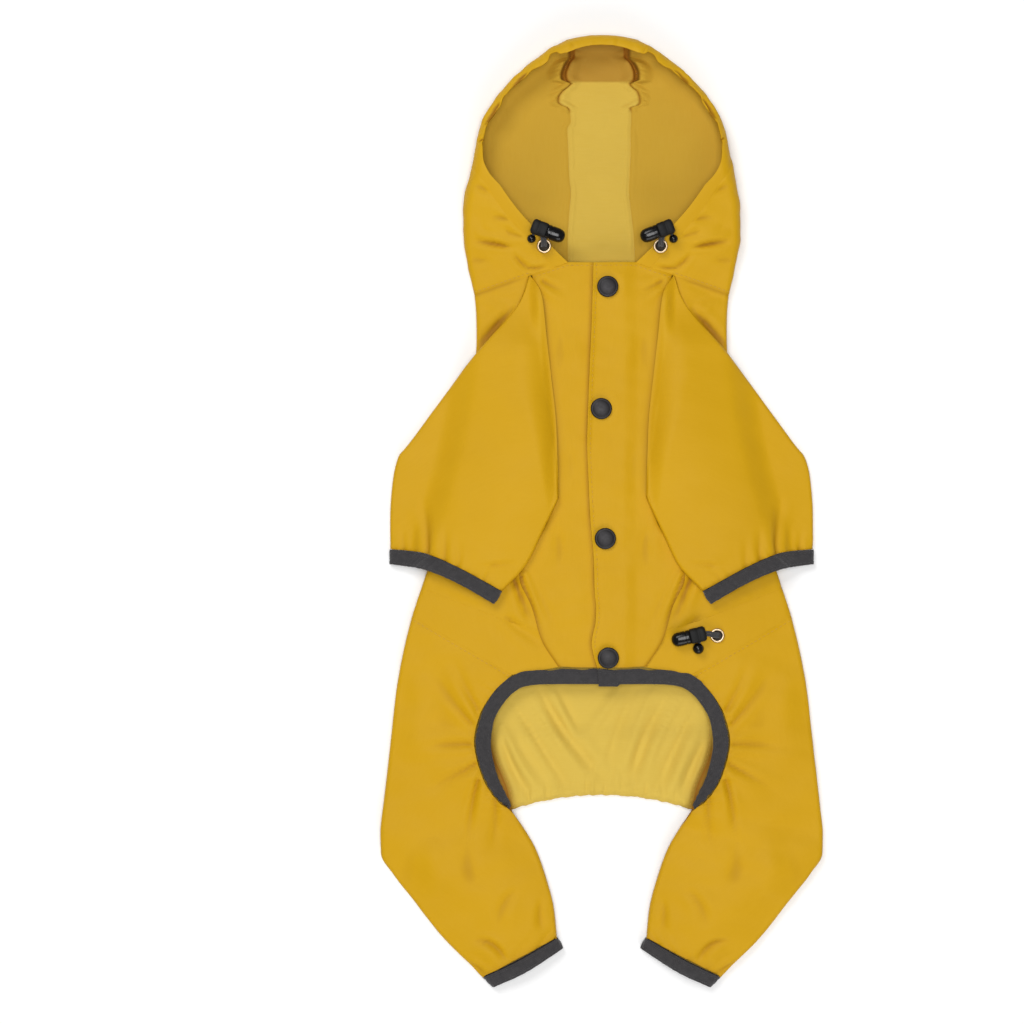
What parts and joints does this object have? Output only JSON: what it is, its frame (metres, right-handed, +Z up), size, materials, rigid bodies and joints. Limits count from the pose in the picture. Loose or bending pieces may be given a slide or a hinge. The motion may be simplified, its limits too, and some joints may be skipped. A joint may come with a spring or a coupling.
{
  "type": "dog raincoat",
  "caption": "Hooded four-legged dog raincoat lying flat on its back, belly side up, with front placket, drawcord hood and waist, belly arch, sleeves and hind legs.",
  "frame": {"origin": "middle of the coat's bounding box, on the surface that it lies on", "axes": "+X to the right of the coat as it lies, +Y from the hind legs to the hood, +Z up from the surface"},
  "size_m": [0.2666, 0.5729, 0.0254],
  "materials": {
    "rain_shell": "coated plain weave with a soft sheen",
    "binding": "matt elastic binding",
    "gunmetal": "dark satin",
    "nickel": "plated, a little dull",
    "black_plastic": "gloss",
    "drawcord": "braided"
  },
  "bodies": {
    "root": {"arch_binding_left": "binding", "arch_binding_right": "binding", "back": "rain_shell", "chest_left": "rain_shell", "chest_right": "rain_shell", "hood_casing": "rain_shell", "hood_centre": "rain_shell", "hood_left_cord_stop": "black_plastic", "hood_left_drawcord": "drawcord", "hood_left_eyelet": "nickel", "hood_left_lock": "black_plastic", "hood_left_lock_button": "black_plastic", "hood_right_cord_stop": "black_plastic", "hood_right_drawcord": "drawcord", "hood_right_eyelet": "nickel", "hood_right_lock": "black_plastic", "hood_right_lock_button": "black_plastic", "hood_side_left": "rain_shell", "hood_side_right": "rain_shell", "leash_flap": "rain_shell", "leg_back_left": "rain_shell", "leg_back_right": "rain_shell", "leg_cuff_left": "binding", "leg_cuff_right": "binding", "leg_front_left": "rain_shell", "leg_front_right": "rain_shell", "seat": "rain_shell", "sleeve_cuff_left": "binding", "sleeve_cuff_right": "binding", "sleeve_left": "rain_shell", "sleeve_right": "rain_shell", "snap_1": "gunmetal", "snap_2": "gunmetal", "snap_3": "gunmetal", "snap_4": "gunmetal", "tail_binding": "binding", "waist_channel": "rain_shell", "waist_cord_stop": "black_plastic", "waist_drawcord": "drawcord", "waist_eyelet": "nickel", "waist_lock": "black_plastic", "waist_lock_button": "black_plastic"}
  },
  "joints": []
}
